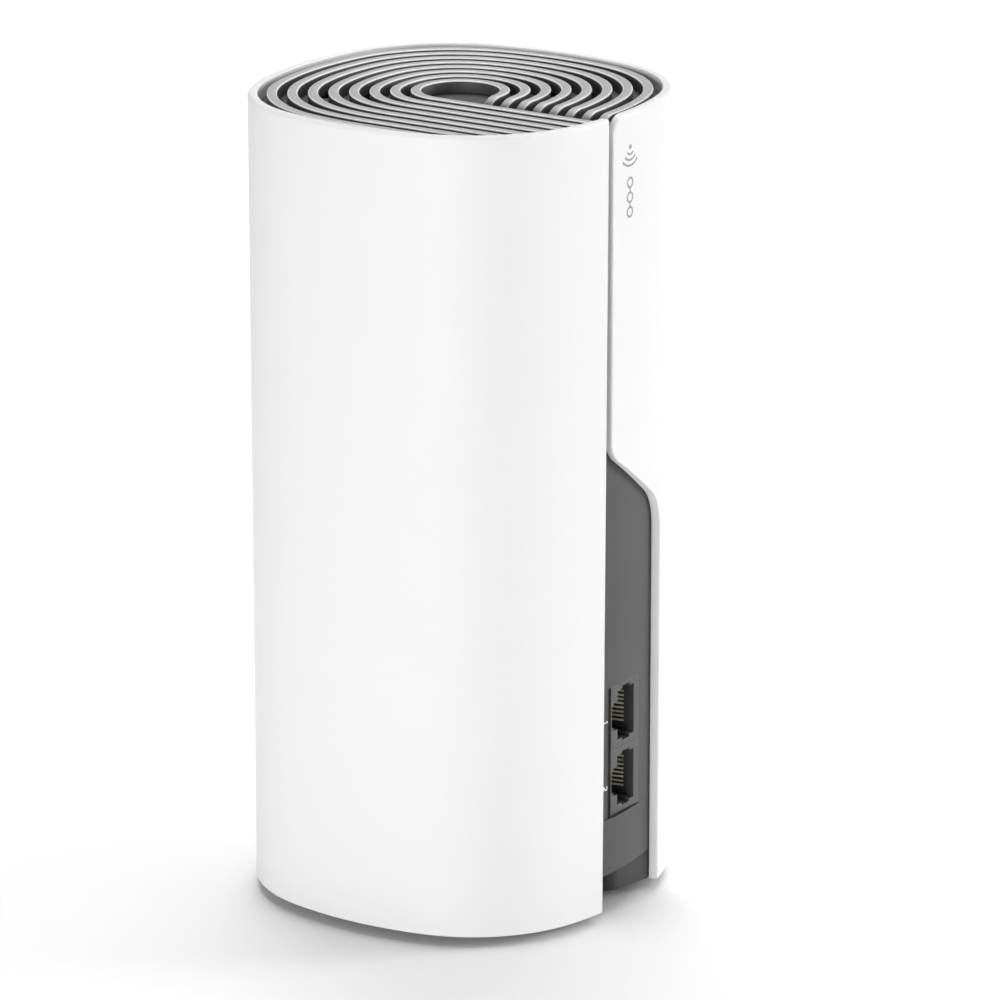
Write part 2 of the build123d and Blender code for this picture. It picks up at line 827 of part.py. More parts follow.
os.makedirs("parts", exist_ok=True)

save(make_outer_shell(), "outer_shell")
save(make_grille(), "grille")
save(make_top_cap(), "top_cap")
save(make_rear_panel(), "rear_panel")
save(make_chassis(), "chassis")
save(make_base_cover(), "base_cover")
save(make_feet(), "rubber_feet")
save(make_base_label(), "base_label")
save(make_base_screws(), "base_screws")
save(make_main_board(), "main_board")

for number, direction in ((1, 1), (2, -1)):
    port_z = port_middle_z + direction * port_height / 2
    save(make_ethernet_jack(port_z), "ethernet_jack_" + str(number))
    save(make_contacts(port_z), "jack_" + str(number) + "_contacts")
    magnetics = board_block(-1, 21.8, port_z, 8.2, 14.0, 6.5, lift=0.02, corner=0.5)
    save(magnetics, "lan_transformer_" + str(number))

save(make_power_socket(), "power_socket")
save(make_power_pin(), "power_socket_pin")
save(make_power_spring(), "power_socket_spring")
save(make_reset_button(), "reset_button")
save(make_reset_plunger(), "reset_plunger")
save(make_reset_switch(), "reset_switch")
save(make_light_guide(), "status_light_guide")
save(board_block(-1, light_y, board_bottom + 1.0, 3.0, 1.8, 2.4, lift=0.02), "status_led")

# Shielded groups on the board: side, y, z, length and height of each can
shields = {
    "shield_processor": (-1, 4.0, 96.0, 34.0, 30.0),
    "shield_radio_low_band": (-1, 4.0, 140.0, 34.0, 34.0),
    "shield_radio_high_band": (1, 0.0, 130.0, 36.0, 44.0),
}
for name, (side, y, z, length, height) in shields.items():
    save(make_shield(side, y, z, length, height), name)
    pad = board_block(side, y, z, length - 10, height - 10, pad_thickness - 0.02, lift=shield_height + 0.01)
    save(pad, name.replace("shield", "thermal_pad"))

# Chips under the cans: side, y, z, length, height and thickness
chips = {
    "processor_chip": (-1, 0.0, 98.0, 14.0, 14.0, 1.3),
    "memory_chip": (-1, 14.0, 98.0, 8.0, 13.0, 1.1),
    "flash_chip": (-1, 12.0, 86.0, 8.0, 6.0, 0.9),
    "radio_chip_low_band": (-1, 4.0, 138.0, 9.0, 9.0, 1.0),
    "radio_chip_high_band": (1, 0.0, 126.0, 10.0, 10.0, 1.0),
}
for name, (side, y, z, length, height, thickness) in chips.items():
    save(board_block(side, y, z, length, height, thickness, lift=0.02), name)

save(make_cylinders(-1, [(-12, 40), (-12, 52), (-24, 40)], 4.0, 10.0), "capacitors")
inductors = board_block(1, 14.0, 50.0, 7.0, 7.0, 4.0, lift=0.02, corner=0.8)
save(inductors, "power_inductor")

save(make_heat_spreader(-1), "heat_spreader_port_side")
save(make_heat_spreader(1), "heat_spreader_plain_side")
spreader_head_face = board_left - spreader_gap - spreader_thickness - 0.02
save(make_screws_along_x(spreader_points, spreader_head_face, 11.0, 1.02), "spreader_screws")
save(make_screws_along_x(board_screw_points, board_left - 0.02, 5.4, 0.97), "board_screws")

for name, side in (("left", -1), ("right", 1)):
    save(make_antenna(side), "antenna_" + name)
    save(make_antenna_lead(side), "antenna_lead_" + name)
    socket_block = board_block(side, lead_y, lead_z, 2.6, 2.6, 1.3, lift=0.02)
    save(socket_block, "antenna_connector_" + name)
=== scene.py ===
"""Looks of the mesh wifi node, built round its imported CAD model.

Metres, +Z up, +Y towards the slot and the ports, as in the CAD model.
The wrap-round pieces are modelled flat, as (distance along the outline, depth, height),
and then rolled onto the outline.
"""
import math

import bmesh
import bpy
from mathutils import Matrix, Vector


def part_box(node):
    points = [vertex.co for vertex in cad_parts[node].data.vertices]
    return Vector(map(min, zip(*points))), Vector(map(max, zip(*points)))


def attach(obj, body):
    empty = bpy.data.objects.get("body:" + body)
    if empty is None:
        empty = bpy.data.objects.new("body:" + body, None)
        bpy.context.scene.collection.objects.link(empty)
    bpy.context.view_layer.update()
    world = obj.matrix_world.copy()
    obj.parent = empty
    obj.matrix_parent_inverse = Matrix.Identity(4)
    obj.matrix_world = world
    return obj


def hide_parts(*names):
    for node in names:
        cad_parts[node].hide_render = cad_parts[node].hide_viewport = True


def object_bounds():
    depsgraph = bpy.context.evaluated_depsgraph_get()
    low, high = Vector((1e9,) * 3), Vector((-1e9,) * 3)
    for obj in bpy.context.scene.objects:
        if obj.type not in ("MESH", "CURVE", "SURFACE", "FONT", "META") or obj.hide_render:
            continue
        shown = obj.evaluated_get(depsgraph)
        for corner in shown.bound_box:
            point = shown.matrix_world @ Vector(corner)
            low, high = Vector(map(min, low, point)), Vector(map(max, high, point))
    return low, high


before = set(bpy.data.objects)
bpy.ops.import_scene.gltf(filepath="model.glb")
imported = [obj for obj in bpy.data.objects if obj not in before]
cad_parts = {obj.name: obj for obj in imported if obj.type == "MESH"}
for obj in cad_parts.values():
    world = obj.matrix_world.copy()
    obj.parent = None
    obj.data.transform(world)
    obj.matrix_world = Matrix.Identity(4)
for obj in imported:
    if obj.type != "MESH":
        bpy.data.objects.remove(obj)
cad_low, cad_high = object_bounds()

MM = 0.001
HOUSING = "housing"

# ---------------------------------------------------------------- sizes
# Plan outline: four side arcs joined by four tighter corner arcs.
half_width = cad_high.x
corner_reach = 48.45 * MM
side_radius = 79.0 * MM

# Wrap-round sheet, whose two ends face each other across the slot. The end on the -X side
# has the slope and the port cut-out. Places across the rear are given along X.
shell_low, shell_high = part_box("outer_shell")
skin_inset = 0.02 * MM
wall = 2.2 * MM
plain_end_top = 7.5 * MM
plain_end_bottom = 8.5 * MM
slot_edge = 5.5 * MM
port_edge = -17.45 * MM
slope_top = 111.4 * MM
slope_bottom = 95.1 * MM
rim_corner_radius = 4.5 * MM
slope_top_radius = 6.0 * MM
slope_bottom_radius = 12.0 * MM
shell_edge_radius = 0.9 * MM
free_edge_share = 0.22
inner_edge_share = 0.3

# Grille of hook-shaped ribs.
rib_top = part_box("grille")[1].z
rib_floor = rib_top - 2.9 * MM
rib_count = 8
rib_end_gap = 0.12 * MM
rib_edge_radius = 0.28 * MM
straight_steps = 12
centre_radius = 8.95 * MM
last_slot_half_width = 39.36 * MM
last_slot_reach = 41.74 * MM
side_ratio = 1.742
tail_roll = 6.0 * MM
tail_clearance = 0.1 * MM
roll_steps = 14
# The rolled rib tails get painted shade: their colour darkens between these two heights.
tail_painted_shade_low = rib_top - 1.7 * MM
tail_unshaded_height = rib_top - 0.3 * MM
web_start = centre_radius + 1.0 * MM
web_bottom = rib_floor + 0.02 * MM
web_length = 32.0 * MM
web_width = 1.6 * MM
web_height = 0.8 * MM
web_edge_radius = 0.2 * MM
web_degrees = (35, 108.5, 180, 250, 321.5)

# Rear panel, with its port window and number strip. It goes on a little round one corner.
panel_low, panel_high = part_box("rear_panel")
panel_front = wall + 0.05 * MM
panel_back = panel_front + 2.0 * MM
panel_near_edge = 14.0 * MM
panel_far_edge = -18.0 * MM
panel_round_corner = 6.0 * MM
panel_edge_radius = 0.16 * MM
cut_past = 1.0 * MM
port_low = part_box("ethernet_jack_2")[0]
port_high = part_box("ethernet_jack_1")[1]
window_gap = 0.15 * MM
strip_gap = 0.4 * MM
strip_edge = 6.6 * MM
strip_depth = 0.45 * MM

# Port numbers in the strip.
print_step = 0.5 * MM
number_height = 1.4 * MM
number_stroke = 0.3 * MM
number_rise = 0.03 * MM
number_thickness = 0.06 * MM
number_foot = 4.85 * MM
number_places = (47.0 * MM, 31.0 * MM)

# Emblem on the sheet, just proud of its skin.
emblem_front = 0.008 * MM
emblem_back = 0.06 * MM
emblem_place = -0.6 * MM
emblem_stroke = 0.5 * MM
dot_radius = 0.3 * MM
dot_stroke = 0.55 * MM
fan_height = 182.2 * MM
fan_radii = (1.7 * MM, 3.0 * MM, 4.3 * MM)
ring_radius = 1.1 * MM
ring_heights = (174.0 * MM, 170.6 * MM, 167.2 * MM)
link_reach = 0.4 * MM
link_heights = (172.3 * MM, 168.9 * MM)


# ---------------------------------------------------------------- outline
def corner_values(half, reach, radius):
    """Centre offset, radius and start angle of the corner arcs, tangent to the side arcs."""
    offset = radius - half
    rest = radius - reach
    along = (rest**2 - offset**2) / (math.sqrt(2) * offset - 2 * rest)
    centre = along / math.sqrt(2)
    return centre, reach - along, math.atan2(centre, centre + offset)


corner_centre, corner_radius, side_angle = corner_values(half_width, corner_reach, side_radius)
side_length = 2 * side_radius * side_angle
corner_length = corner_radius * (math.pi / 2 - 2 * side_angle)
perimeter = 4 * (side_length + corner_length)


def turned(x, y, angle):
    """A plan point turned about the unit's axis."""
    return x * math.cos(angle) - y * math.sin(angle), x * math.sin(angle) + y * math.cos(angle)


def on_outline(along, depth):
    """Plan point at a distance along the outline from the middle of the rear, set in by depth."""
    quarter = side_length + corner_length
    turn, rest = divmod(along + side_length / 2, quarter)
    base = math.pi / 2 + turn * math.pi / 2
    if rest < side_length:
        angle = base + rest / side_radius - side_angle
        centre = turned(half_width - side_radius, 0, base)
        radius = side_radius
    else:
        angle = base + side_angle + (rest - side_length) / corner_radius
        centre = turned(corner_centre, corner_centre, base)
        radius = corner_radius
    reach = radius - depth
    return centre[0] + reach * math.cos(angle), centre[1] + reach * math.sin(angle)


def rear_along(x):
    """Distance along the outline of a place on the rear, from its sideways position."""
    return -side_radius * math.asin(x / side_radius)


# ---------------------------------------------------------------- mesh helpers
def link_mesh(name, bm):
    """A new object from a bmesh."""
    mesh = bpy.data.meshes.new(name)
    bm.to_mesh(mesh)
    bm.free()
    piece = bpy.data.objects.new(name, mesh)
    bpy.context.collection.objects.link(piece)
    return piece


def apply_modifiers(piece):
    """Replace a piece's mesh with its evaluated one."""
    depsgraph = bpy.context.evaluated_depsgraph_get()
    mesh = bpy.data.meshes.new_from_object(piece.evaluated_get(depsgraph))
    piece.modifiers.clear()
    piece.data = mesh


def smooth_by_angle(piece, degrees=32.0):
    """Smooth shading, with edges sharper than an angle kept sharp."""
    bm = bmesh.new()
    bm.from_mesh(piece.data)
    limit = math.radians(degrees)
    for face in bm.faces:
        face.smooth = True
    for edge in bm.edges:
        edge.smooth = len(edge.link_faces) == 2 and edge.calc_face_angle(0) < limit
    bm.to_mesh(piece.data)
    bm.free()


def weigh_normals(piece):
    """Shade by the large faces, so that bevels read as soft edges."""
    weighted = piece.modifiers.new("normals", "WEIGHTED_NORMAL")
    weighted.keep_sharp = True


def round_corners(points, radii, segments=10):
    """An open line with its inner corners replaced by arcs."""
    rounded = [points[0]]
    for before, corner, after, radius in zip(points, points[1:], points[2:], radii):
        corner = Vector(corner)
        back = (Vector(before) - corner).normalized()
        ahead = (Vector(after) - corner).normalized()
        half_angle = back.angle(ahead) / 2
        centre = corner + (back + ahead).normalized() * (radius / math.sin(half_angle))
        start = corner + back * (radius / math.tan(half_angle)) - centre
        stop = corner + ahead * (radius / math.tan(half_angle)) - centre
        swing = start.angle_signed(stop)
        for step in range(segments + 1):
            arm = Vector(turned(start.x, start.y, -swing * step / segments))
            rounded.append(tuple(centre + arm))
    rounded.append(points[-1])
    return rounded


def flat_plate(name, border, front, back):
    """A flat closed plate over a border of (along, height) points."""
    bm = bmesh.new()
    corners = [bm.verts.new((along, front, height)) for along, height in border]
    face = bm.faces.new(corners)
    made = bmesh.ops.extrude_face_region(bm, geom=[face])
    for item in made["geom"]:
        if isinstance(item, bmesh.types.BMVert):
            item.co.y = back
    bmesh.ops.recalc_face_normals(bm, faces=bm.faces)
    return link_mesh(name, bm)


def flat_box(name, along, depth, height):
    """A flat closed box between pairs of limits."""
    start, stop = along
    low, high = height
    border = [(start, low), (stop, low), (stop, high), (start, high)]
    return flat_plate(name, border, depth[0], depth[1])


def cut_away(piece, cutters):
    """Take the cutters out of a piece, and remove them."""
    for cutter in cutters:
        boolean = piece.modifiers.new("cut", "BOOLEAN")
        boolean.object = cutter
        boolean.solver = "EXACT"
    apply_modifiers(piece)
    for cutter in cutters:
        bpy.data.objects.remove(cutter)


def roll(piece, step=1.0 * MM):
    """Slice a flat piece into columns and wrap it onto the outline."""
    bm = bmesh.new()
    bm.from_mesh(piece.data)
    low = min(vertex.co.x for vertex in bm.verts)
    high = max(vertex.co.x for vertex in bm.verts)
    for number in range(1, int((high - low) / step)):
        bmesh.ops.bisect_plane(
            bm,
            geom=bm.verts[:] + bm.edges[:] + bm.faces[:],
            dist=1e-7,
            plane_co=(low + number * step, 0, 0),
            plane_no=(1, 0, 0),
        )
    for vertex in bm.verts:
        along, depth, height = vertex.co
        x, y = on_outline(along, depth)
        vertex.co = (x, y, height)
    bmesh.ops.recalc_face_normals(bm, faces=bm.faces)
    bm.to_mesh(piece.data)
    bm.free()


# ---------------------------------------------------------------- materials
cloud_scale = 40.0
bump_depth = 0.05 * MM
brush_scale = (60.0, 60.0, 3000.0)
# Share of the colour left at the bottom of the painted shade on the rib tails.
tail_painted_shade_share = 0.2

# The noise stays mostly between these two values.
noise_low = 0.3
noise_high = 0.7


def new_material(name, colour, roughness, specular=0.5):
    """A plastic-like material and its nodes."""
    material = bpy.data.materials.new(name)
    material.use_nodes = True
    nodes = material.node_tree.nodes
    shader = nodes["Principled BSDF"]
    shader.inputs["Base Color"].default_value = (*colour, 1)
    shader.inputs["Roughness"].default_value = roughness
    shader.inputs["Specular IOR Level"].default_value = specular
    return material, nodes, material.node_tree.links, shader


def add_noise(nodes, links, scale, detail=4.0):
    """Noise in the object's own coordinates."""
    place = nodes.new("ShaderNodeTexCoord")
    noise = nodes.new("ShaderNodeTexNoise")
    noise.inputs["Scale"].default_value = scale
    noise.inputs["Detail"].default_value = detail
    links.new(place.outputs["Object"], noise.inputs["Vector"])
    return noise


def vary(nodes, links, source, low, high):
    """Noise factor mapped to a range of values."""
    span = nodes.new("ShaderNodeMapRange")
    span.inputs["From Min"].default_value = noise_low
    span.inputs["From Max"].default_value = noise_high
    span.inputs["To Min"].default_value = low
    span.inputs["To Max"].default_value = high
    links.new(source.outputs["Fac"], span.inputs["Value"])
    return span


def vary_colour(nodes, links, source, dark, light):
    """Noise factor mapped to a range of colours."""
    ramp = nodes.new("ShaderNodeValToRGB")
    ramp.color_ramp.elements[0].position = noise_low
    ramp.color_ramp.elements[0].color = (*dark, 1)
    ramp.color_ramp.elements[1].position = noise_high
    ramp.color_ramp.elements[1].color = (*light, 1)
    links.new(source.outputs["Fac"], ramp.inputs["Fac"])
    return ramp


def moulded(name, colour, roughness, grain_scale=2500.0, grain=0.05, spread=0.04, specular=0.5):
    """Moulded plastic: fine grain, slightly uneven gloss and colour."""
    material, nodes, links, shader = new_material(name, colour, roughness, specular)
    cloud = add_noise(nodes, links, cloud_scale)
    gloss = vary(nodes, links, cloud, roughness * 0.9, roughness * 1.1)
    links.new(gloss.outputs["Result"], shader.inputs["Roughness"])
    dark = tuple(channel * (1 - spread) for channel in colour)
    light = tuple(min(1.0, channel * (1 + spread)) for channel in colour)
    tint = vary_colour(nodes, links, cloud, dark, light)
    links.new(tint.outputs["Color"], shader.inputs["Base Color"])
    fine = add_noise(nodes, links, grain_scale, 2.0)
    bump = nodes.new("ShaderNodeBump")
    bump.inputs["Strength"].default_value = grain
    bump.inputs["Distance"].default_value = bump_depth
    links.new(fine.outputs["Fac"], bump.inputs["Height"])
    links.new(bump.outputs["Normal"], shader.inputs["Normal"])
    return material


def paint_shade_by_height(material, dark_height, light_height):
    """Painted shade: darken a material steadily between two heights, at full colour above the
    upper one.
    """
    nodes = material.node_tree.nodes
    links = material.node_tree.links
    shader = nodes["Principled BSDF"]
    colour = shader.inputs["Base Color"].links[0].from_socket
    place = nodes.new("ShaderNodeTexCoord")
    split = nodes.new("ShaderNodeSeparateXYZ")
    share = nodes.new("ShaderNodeMapRange")
    share.inputs["From Min"].default_value = dark_height
    share.inputs["From Max"].default_value = light_height
    share.inputs["To Min"].default_value = tail_painted_shade_share
    share.inputs["To Max"].default_value = 1.0
    blend = nodes.new("ShaderNodeVectorMath")
    blend.operation = "SCALE"
    links.new(place.outputs["Object"], split.inputs["Vector"])
    links.new(split.outputs["Z"], share.inputs["Value"])
    links.new(colour, blend.inputs[0])
    links.new(share.outputs["Result"], blend.inputs["Scale"])
    links.new(blend.outputs["Vector"], shader.inputs["Base Color"])


def metal(name, colour, roughness, metallic=1.0):
    """Metal with fine brushed lines."""
    material, nodes, links, shader = new_material(name, colour, roughness)
    shader.inputs["Metallic"].default_value = metallic
    place = nodes.new("ShaderNodeTexCoord")
    stretch = nodes.new("ShaderNodeMapping")
    stretch.inputs["Scale"].default_value = brush_scale
    noise = nodes.new("ShaderNodeTexNoise")
    noise.inputs["Scale"].default_value = 1.0
    noise.inputs["Detail"].default_value = 3.0
    links.new(place.outputs["Object"], stretch.inputs["Vector"])
    links.new(stretch.outputs["Vector"], noise.inputs["Vector"])
    gloss = vary(nodes, links, noise, roughness * 0.75, roughness * 1.25)
    links.new(gloss.outputs["Result"], shader.inputs["Roughness"])
    tint = vary_colour(nodes, links, noise, tuple(c * 0.88 for c in colour), colour)
    links.new(tint.outputs["Color"], shader.inputs["Base Color"])
    return material


shell_white = moulded(
    "shell_white", (0.83, 0.83, 0.83), 0.42, grain=0.02, spread=0.004, specular=0.35
)
rib_light = moulded("rib_light", (0.42, 0.42, 0.42), 0.5, grain=0.03, spread=0.01)
# Painted highlight: a lighter copy of the rib plastic for the rounded rib edges.
rib_edge_painted_highlight = moulded("rib_edge_painted_highlight", (0.8, 0.8, 0.8), 0.35, grain=0.02, spread=0.01)
# Painted shade on the rolled rib tails, in both rib top materials.
for material in (rib_light, rib_edge_painted_highlight):
    paint_shade_by_height(material, tail_painted_shade_low, tail_unshaded_height)
rib_dark = moulded("rib_dark", (0.075, 0.075, 0.076), 0.6)
cavity_dark = moulded("cavity_dark", (0.052, 0.052, 0.053), 0.6)
panel_grey = moulded("panel_grey", (0.047, 0.047, 0.048), 0.5)
port_grey = moulded("port_grey", (0.07, 0.07, 0.07), 0.45)
print_grey = moulded("print_grey", (0.3, 0.3, 0.31), 0.5, spread=0.02)
print_white = moulded("print_white", (0.85, 0.85, 0.85), 0.5, spread=0.01)
rubber = moulded("rubber", (0.02, 0.02, 0.02), 0.8, grain_scale=1500.0, grain=0.2)
chip_black = moulded("chip_black", (0.018, 0.018, 0.02), 0.5, grain_scale=6000.0, grain=0.2)
label_blank = moulded("label_blank", (0.7, 0.7, 0.69), 0.6)
pad_blue = moulded("pad_blue", (0.12, 0.25, 0.42), 0.8)
lead_grey = moulded("lead_grey", (0.06, 0.06, 0.06), 0.5)
lamp_white = moulded("lamp_white", (0.85, 0.84, 0.75), 0.3)
board_green = moulded(
    "board_green", (0.012, 0.09, 0.045), 0.35, grain_scale=900.0, grain=0.1, spread=0.25
)
contact_gold = metal("contact_gold", (0.98, 0.92, 0.76), 0.3, metallic=0.2)
screw_steel = metal("screw_steel", (0.6, 0.6, 0.62), 0.32)
shield_tin = metal("shield_tin", (0.66, 0.66, 0.66), 0.35)
aluminium = metal("aluminium", (0.75, 0.76, 0.78), 0.38)


def clear_plastic():
    """Slightly cloudy clear moulding for the light guide."""
    material, nodes, links, shader = new_material("clear_plastic", (0.9, 0.93, 0.96), 0.12)
    shader.inputs["Transmission Weight"].default_value = 0.85
    shader.inputs["IOR"].default_value = 1.49
    cloud = add_noise(nodes, links, 300.0)
    haze = vary(nodes, links, cloud, 0.08, 0.2)
    links.new(haze.outputs["Result"], shader.inputs["Roughness"])
    return material


clear = clear_plastic()


def place_on_housing(piece, replaced=()):
    """Say that a new piece rides on the housing, and hide the CAD nodes it replaces."""
    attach(piece, HOUSING)
    if replaced:
        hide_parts(*replaced)


def dress(piece, material, replaced=()):
    """Give a new piece its one material, and place it on the housing."""
    piece.data.materials.clear()
    piece.data.materials.append(material)
    place_on_housing(piece, replaced)


# ---------------------------------------------------------------- outer shell
def sheet_border():
    """Edge of the unrolled sheet: rim, slot, slope, port cut-out, foot and the plain end."""
    low, high = shell_low.z, shell_high.z
    cut = round_corners(
        [
            (slot_edge - 3 * rim_corner_radius, high),
            (slot_edge, high),
            (slot_edge, slope_top),
            (port_edge, slope_bottom),
            (port_edge, low),
        ],
        (rim_corner_radius, slope_top_radius, slope_bottom_radius),
    )
    border = [(rear_along(x), z) for x, z in cut]
    border.append((perimeter + rear_along(plain_end_bottom), low))
    border.append((perimeter + rear_along(plain_end_top), high))
    return border


def rim_share(height):
    """How round the sheet's outer edge is: fully at the rim, less down its free edges."""
    corner_start = shell_high.z - rim_corner_radius
    climbed = min(1.0, max(0.0, (height - corner_start) / rim_corner_radius))
    return free_edge_share + (1 - free_edge_share) * climbed


def make_shell():
    """The white sheet, with a rounder outer edge along its rim."""
    shell = flat_plate("outer_shell_skin", sheet_border(), skin_inset, wall)
    bm = bmesh.new()
    bm.from_mesh(shell.data)
    weight = bm.edges.layers.float.new("bevel_weight_edge")
    for edge in bm.edges:
        outer = all(abs(vertex.co.y - skin_inset) < 1e-6 for vertex in edge.verts)
        inner = all(abs(vertex.co.y - wall) < 1e-6 for vertex in edge.verts)
        middle = (edge.verts[0].co + edge.verts[1].co) / 2
        if outer:
            edge[weight] = rim_share(middle.z)
        elif inner:
            edge[weight] = inner_edge_share
    bm.to_mesh(shell.data)
    bm.free()
    bevel = shell.modifiers.new("edges", "BEVEL")
    bevel.limit_method = "WEIGHT"
    bevel.width = shell_edge_radius
    bevel.segments = 5
    bevel.use_clamp_overlap = False
    apply_modifiers(shell)
    roll(shell)
    smooth_by_angle(shell)
    weigh_normals(shell)
    dress(shell, shell_white, replaced=["outer_shell"])


make_shell()


# ---------------------------------------------------------------- grille
def rib_edge_values(index):
    """Half width, corner reach and side radius of rib edge number index, from the centre out."""
    share = index / (2 * rib_count - 2)
    half = centre_radius + (last_slot_half_width - centre_radius) * share
    reach = centre_radius + (last_slot_reach - centre_radius) * share
    squareness = (reach / half - 1) / (last_slot_reach / last_slot_half_width - 1)
    return half, reach, half * (1 + (side_ratio - 1) * min(1.0, squareness))


def rib_ring(index, steps=14):
    """Three quarters of a rib edge, from the +X side round by -Y and -X to the +Y side."""
    half, reach, radius = rib_edge_values(index)
    points = []
    if index == 0:
        count = 6 * steps
        for number in range(count + 1):
            points.append(turned(half, 0, -number / count * 1.5 * math.pi))
        return points
    centre, corner, start = corner_values(half, reach, radius)
    arcs = []
    for quarter in range(3):
        base = -quarter * math.pi / 2
        arcs.append((base, (half - radius, 0), radius, 0.0, -start))
        arcs.append((base, (centre, -centre), corner, -start, start - math.pi / 2))
        arcs.append((base - math.pi / 2, (half - radius, 0), radius, start, 0.0))
    for base, middle, arc_radius, begin, end in arcs:
        fine = steps if arc_radius == corner else steps // 2
        for number in range(fine):
            angle = begin + (end - begin) * number / fine
            x = middle[0] + arc_radius * math.cos(angle)
            y = middle[1] + arc_radius * math.sin(angle)
            points.append(turned(x, y, base))
    points.append((0.0, half))
    return points


def inner_wall_y(x):
    """How far back a straight rib edge at x reaches before the sheet's inner wall, by halving."""
    depth = wall + rib_end_gap
    low, high = 0.0, perimeter / 4
    for _ in range(40):
        middle = (low + high) / 2
        if on_outline(-middle, depth)[0] < x:
            low = middle
        else:
            high = middle
    return on_outline(-low, depth)[1]


def match_by_angle(circle, ring):
    """Points of the centre circle at the same angles as the points of a ring."""
    radius = math.hypot(*circle[0])
    matched = []
    for x, y in ring:
        angle = math.atan2(y, x)
        matched.append((radius * math.cos(angle), radius * math.sin(angle)))
    return matched


def rib_stations(rib):
    """Stations along one rib: inner point, outer point, top height and the way down."""
    inner, outer = 2 * rib, 2 * rib + 1
    half_in, half_out = rib_edge_values(inner)[0], rib_edge_values(outer)[0]
    down = Vector((0, 0, -1))
    stations = []
    far_in, far_out = inner_wall_y(half_in), inner_wall_y(half_out)
    for number in range(straight_steps):
        share = 1 - number / straight_steps
        a = Vector((half_in, far_in * share, rib_top))
        b = Vector((half_out, far_out * share, rib_top))
        stations.append((a, b, down))
    steps_in, steps_out = rib_ring(inner), rib_ring(outer)
    if inner == 0:
        steps_in = match_by_angle(steps_in, steps_out)
    for (ax, ay), (bx, by) in zip(steps_in, steps_out):
        stations.append((Vector((ax, ay, rib_top)), Vector((bx, by, rib_top)), down))
    roll_end = math.acos(1 - (rib_top - rib_floor - tail_clearance) / tail_roll)
    for number in range(1, roll_steps + 1):
        angle = roll_end * number / roll_steps
        x = tail_roll * math.sin(angle)
        z = rib_top - tail_roll * (1 - math.cos(angle))
        way_down = Vector((-math.sin(angle), 0, -math.cos(angle)))
        stations.append((Vector((x, half_in, z)), Vector((x, half_out, z)), way_down))
    return stations


def make_ribs():
    """Eight hook-shaped ribs with light tops, painted highlights on their rounded edges and dark
    sides.
    """
    edge = rib_edge_radius
    # A quarter round's middle lies this share of its radius in from both faces.
    softened = 0.29 * edge
    # The rounded rib edges carry the painted highlight material.
    top, side, highlight_rounding = 0, 1, 2
    rib_face_looks = [highlight_rounding, highlight_rounding, top, top, highlight_rounding, highlight_rounding, side, side, side]
    bm = bmesh.new()
    for rib in range(rib_count):
        rows = []
        for a, b, down in rib_stations(rib):
            across = (b - a).normalized()
            width = (b - a).length
            profile = [
                (0.0, edge),
                (softened, softened),
                (edge, 0.0),
                (width / 2, 0.0),
                (width - edge, 0.0),
                (width - softened, softened),
                (width, edge),
            ]
            points = [a + across * step + down * drop for step, drop in profile]
            points.append(Vector((b.x, b.y, rib_floor)))
            points.append(Vector((a.x, a.y, rib_floor)))
            rows.append([bm.verts.new(point) for point in points])
        count = len(rows[0])
        for near, far in zip(rows, rows[1:]):
            for number in range(count):
                after = (number + 1) % count
                face = bm.faces.new((near[number], near[after], far[after], far[number]))
                face.material_index = rib_face_looks[number]
        for end in (rows[0], rows[-1]):
            bm.faces.new(end).material_index = side
    bmesh.ops.recalc_face_normals(bm, faces=bm.faces)
    ribs = link_mesh("grille_ribs", bm)
    for material in (rib_light, rib_dark, rib_edge_painted_highlight):
        ribs.data.materials.append(material)
    smooth_by_angle(ribs, 50.0)
    place_on_housing(ribs, replaced=["grille"])


make_ribs()


def make_webs():
    """Low radial bars that tie the ribs together under the slots."""
    bm = bmesh.new()
    for degrees in web_degrees:
        made = bmesh.ops.create_cube(bm, size=1.0)
        for vertex in made["verts"]:
            reach = web_start + (vertex.co.x + 0.5) * web_length
            x, y = turned(reach, vertex.co.y * web_width, math.radians(degrees))
            vertex.co = (x, y, web_bottom + (vertex.co.z + 0.5) * web_height)
    webs = link_mesh("grille_webs", bm)
    bevel = webs.modifiers.new("edges", "BEVEL")
    bevel.width = web_edge_radius
    bevel.segments = 2
    apply_modifiers(webs)
    smooth_by_angle(webs)
    dress(webs, rib_dark)


make_webs()


# ---------------------------------------------------------------- rear panel
def make_panel():
    """Dark curved panel with the port window and the recessed number strip."""
    panel = flat_box(
        "rear_panel_skin",
        (rear_along(panel_near_edge), rear_along(panel_far_edge) + panel_round_corner),
        (panel_front, panel_back),
        (panel_low.z, panel_high.z),
    )
    window = flat_box(
        "window",
        (rear_along(port_high.x + window_gap), rear_along(port_low.x - window_gap)),
        (panel_front - cut_past, panel_back + cut_past),
        (port_low.z - window_gap, port_high.z + window_gap),
    )
    strip = flat_box(
        "strip",
        (rear_along(strip_edge), rear_along(port_high.x + strip_gap)),
        (panel_front - cut_past, panel_front + strip_depth),
        (port_low.z, port_high.z),
    )
    cut_away(panel, [window, strip])
    bevel = panel.modifiers.new("edges", "BEVEL")
    bevel.width = panel_edge_radius
    bevel.segments = 3
    bevel.limit_method = "ANGLE"
    bevel.angle_limit = math.radians(40)
    apply_modifiers(panel)
    roll(panel)
    smooth_by_angle(panel)
    weigh_normals(panel)
    dress(panel, panel_grey, replaced=["rear_panel"])


make_panel()


